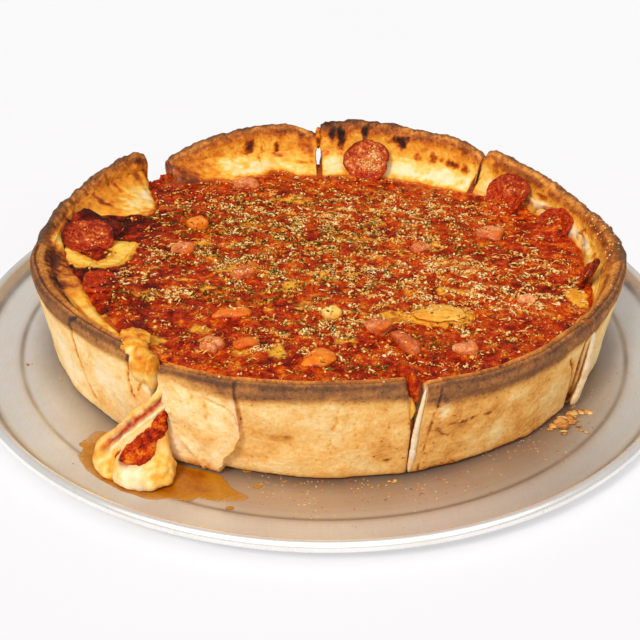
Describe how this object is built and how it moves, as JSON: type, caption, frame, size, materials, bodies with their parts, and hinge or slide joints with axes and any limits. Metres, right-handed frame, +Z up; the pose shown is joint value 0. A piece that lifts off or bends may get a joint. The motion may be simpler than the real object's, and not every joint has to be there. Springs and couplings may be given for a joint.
{
  "type": "deep dish pizza in a pan",
  "caption": "Deep dish pizza with a tall free-standing crust, cut into slices on its round aluminium pan, with cheese and sauce running out of one cut.",
  "frame": {"origin": "centre of the pan's flat underside, on the surface it rests on", "axes": "+Z up through the pizza; -Y towards the eater, at the side where the filling runs out; +X to the right"},
  "size_m": [0.3688, 0.3688, 0.0619],
  "materials": {
    "pan": "worn satin spun aluminium",
    "crust": "baked dough, matt, browned at the crest",
    "cheese": "melted cheese, oily",
    "sauce": "wet tomato sauce",
    "pepperoni": "oily sausage",
    "ham": "cooked ham, slightly moist",
    "pepper": "roasted pepper, slightly moist"
  },
  "bodies": {
    "root": {"pan": "pan", "crust_slice_1": "crust", "crust_slice_2": "crust", "crust_slice_3": "crust", "crust_slice_4": "crust", "crust_slice_5": "crust", "crust_slice_6": "crust", "crust_slice_7": "crust", "crust_slice_8": "crust", "cheese_layer": "cheese", "cheese_bulge": "cheese", "cheese_spill": "cheese", "cheese_dice_1": "cheese", "cheese_patch_1": "cheese", "sauce_layer": "sauce", "sauce_spill": "sauce", "pepperoni_1": "pepperoni", "pepperoni_2": "pepperoni", "pepperoni_3": "pepperoni", "pepperoni_4": "pepperoni", "pepperoni_5": "pepperoni", "pepperoni_6": "pepperoni", "ham_dice_1": "ham", "ham_dice_2": "ham", "ham_dice_3": "ham", "ham_dice_4": "ham", "ham_dice_5": "ham", "ham_dice_6": "ham", "ham_dice_7": "ham", "ham_dice_8": "ham", "ham_dice_9": "ham", "ham_strip_1": "ham", "pepper_dice_1": "pepper", "pepper_dice_2": "pepper", "pepper_dice_3": "pepper", "pepper_dice_4": "pepper"}
  },
  "joints": []
}
